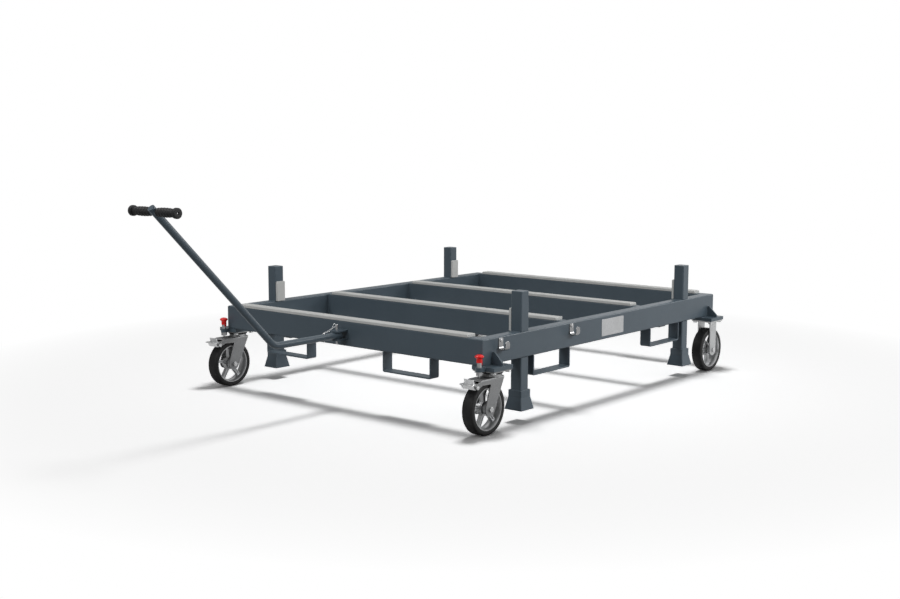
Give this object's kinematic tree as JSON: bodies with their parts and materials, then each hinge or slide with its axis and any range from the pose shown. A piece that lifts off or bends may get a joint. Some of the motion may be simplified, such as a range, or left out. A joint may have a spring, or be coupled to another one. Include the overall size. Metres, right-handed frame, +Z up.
{
  "type": "flat stacking cart",
  "caption": "Flat tube-frame stacking cart with corner stanchions, flared stacking feet, fork pockets, braked swivel and fixed casters, and a bent drawbar with T-handle.",
  "frame": {"origin": "on the floor, at the centre of the overall footprint from handle to rear wheels", "axes": "X across the cart to the right, Y from the drawbar to the rear, Z up"},
  "size_m": [1.53, 2.7218, 0.8604],
  "materials": {
    "frame_paint": "semi-matt blue-grey powder coat",
    "pad_plastic": "matt light-grey plastic strip",
    "bright_zinc": "bright zinc plate",
    "caster_zinc": "zinc-plated pressed steel",
    "rim_metal": "cast aluminium",
    "tyre_rubber": "matt black rubber",
    "bearing_steel": "ground steel",
    "grip_rubber": "black ribbed rubber",
    "knob_plastic": "glossy red plastic"
  },
  "bodies": {
    "frame": {"front_beam": "frame_paint", "rear_beam": "frame_paint", "left_rail": "frame_paint", "right_rail": "frame_paint", "cross_members": "frame_paint", "stacking_legs": "frame_paint", "drawbar_clevis": "frame_paint", "stanchion_front_left": "frame_paint", "stacking_foot_front_left": "frame_paint", "caster_bracket_front_left": "frame_paint", "stanchion_front_right": "frame_paint", "stacking_foot_front_right": "frame_paint", "caster_bracket_front_right": "frame_paint", "stanchion_rear_left": "frame_paint", "stacking_foot_rear_left": "frame_paint", "caster_bracket_rear_left": "frame_paint", "stanchion_rear_right": "frame_paint", "stacking_foot_rear_right": "frame_paint", "caster_bracket_rear_right": "frame_paint", "fork_pockets_front": "frame_paint", "fork_pockets_rear": "frame_paint", "fork_pockets_left": "frame_paint", "fork_pockets_right": "frame_paint", "deck_pads": "pad_plastic", "stanchion_pads": "pad_plastic", "storage_hooks": "bright_zinc", "hook_screws": "bright_zinc", "caster_bolts": "bright_zinc", "plunger_guides": "bright_zinc", "rear_axles": "bright_zinc", "swivel_top_plates": "caster_zinc", "fixed_fork_left": "caster_zinc", "fixed_fork_right": "caster_zinc"},
    "drawbar": {"drawbar_tube": "frame_paint", "cross_bar": "frame_paint", "handle_grips": "grip_rubber", "drawbar_pin": "bright_zinc", "pin_chain": "bright_zinc"},
    "swivel_left": {"swivel_fork_left": "caster_zinc", "fork_bolts_left": "bright_zinc"},
    "pedal_left": {"brake_pedal_left": "caster_zinc"},
    "lock_left": {"lock_knob_left": "knob_plastic", "lock_pin_left": "bright_zinc"},
    "swivel_right": {"swivel_fork_right": "caster_zinc", "fork_bolts_right": "bright_zinc"},
    "pedal_right": {"brake_pedal_right": "caster_zinc"},
    "lock_right": {"lock_knob_right": "knob_plastic", "lock_pin_right": "bright_zinc"},
    "wheel_front_left": {"wheel_rim_front_left": "rim_metal", "wheel_tyre_front_left": "tyre_rubber", "wheel_bearings_front_left": "bearing_steel"},
    "wheel_front_right": {"wheel_rim_front_right": "rim_metal", "wheel_tyre_front_right": "tyre_rubber", "wheel_bearings_front_right": "bearing_steel"},
    "wheel_rear_left": {"wheel_rim_rear_left": "rim_metal", "wheel_tyre_rear_left": "tyre_rubber", "wheel_bearings_rear_left": "bearing_steel"},
    "wheel_rear_right": {"wheel_rim_rear_right": "rim_metal", "wheel_tyre_rear_right": "tyre_rubber", "wheel_bearings_rear_right": "bearing_steel"}
  },
  "joints": [
    {"name": "drawbar_swing", "type": "hinge", "parent": "frame", "child": "drawbar", "pos_m": [0, -0.46755, 0.302], "axis": [0, 0, 1], "range_deg": [-80, 80]},
    {"name": "swivel_left_turn", "type": "hinge", "parent": "frame", "child": "swivel_left", "pos_m": [-0.7125, -0.37105, 0.216], "axis": [0, 0, 1], "continuous": true},
    {"name": "swivel_right_turn", "type": "hinge", "parent": "frame", "child": "swivel_right", "pos_m": [0.7125, -0.37105, 0.216], "axis": [0, 0, 1], "continuous": true},
    {"name": "pedal_left_press", "type": "hinge", "parent": "swivel_left", "child": "pedal_left", "pos_m": [-0.7125, -0.50005, 0.192], "axis": [1, 0, 0], "range_deg": [0, 14]},
    {"name": "pedal_right_press", "type": "hinge", "parent": "swivel_right", "child": "pedal_right", "pos_m": [0.7125, -0.50005, 0.192], "axis": [1, 0, 0], "range_deg": [0, 14]},
    {"name": "lock_left_slide", "type": "slide", "parent": "frame", "child": "lock_left", "axis": [0, 0, 1], "range_m": [-0.01, 0]},
    {"name": "lock_right_slide", "type": "slide", "parent": "frame", "child": "lock_right", "axis": [0, 0, 1], "range_m": [-0.01, 0]},
    {"name": "wheel_front_left_spin", "type": "hinge", "parent": "swivel_left", "child": "wheel_front_left", "pos_m": [-0.7125, -0.42305, 0.1], "axis": [1, 0, 0], "continuous": true},
    {"name": "wheel_front_right_spin", "type": "hinge", "parent": "swivel_right", "child": "wheel_front_right", "pos_m": [0.7125, -0.42305, 0.1], "axis": [1, 0, 0], "continuous": true},
    {"name": "wheel_rear_left_spin", "type": "hinge", "parent": "frame", "child": "wheel_rear_left", "pos_m": [-0.7125, 1.26095, 0.1], "axis": [1, 0, 0], "continuous": true},
    {"name": "wheel_rear_right_spin", "type": "hinge", "parent": "frame", "child": "wheel_rear_right", "pos_m": [0.7125, 1.26095, 0.1], "axis": [1, 0, 0], "continuous": true}
  ]
}
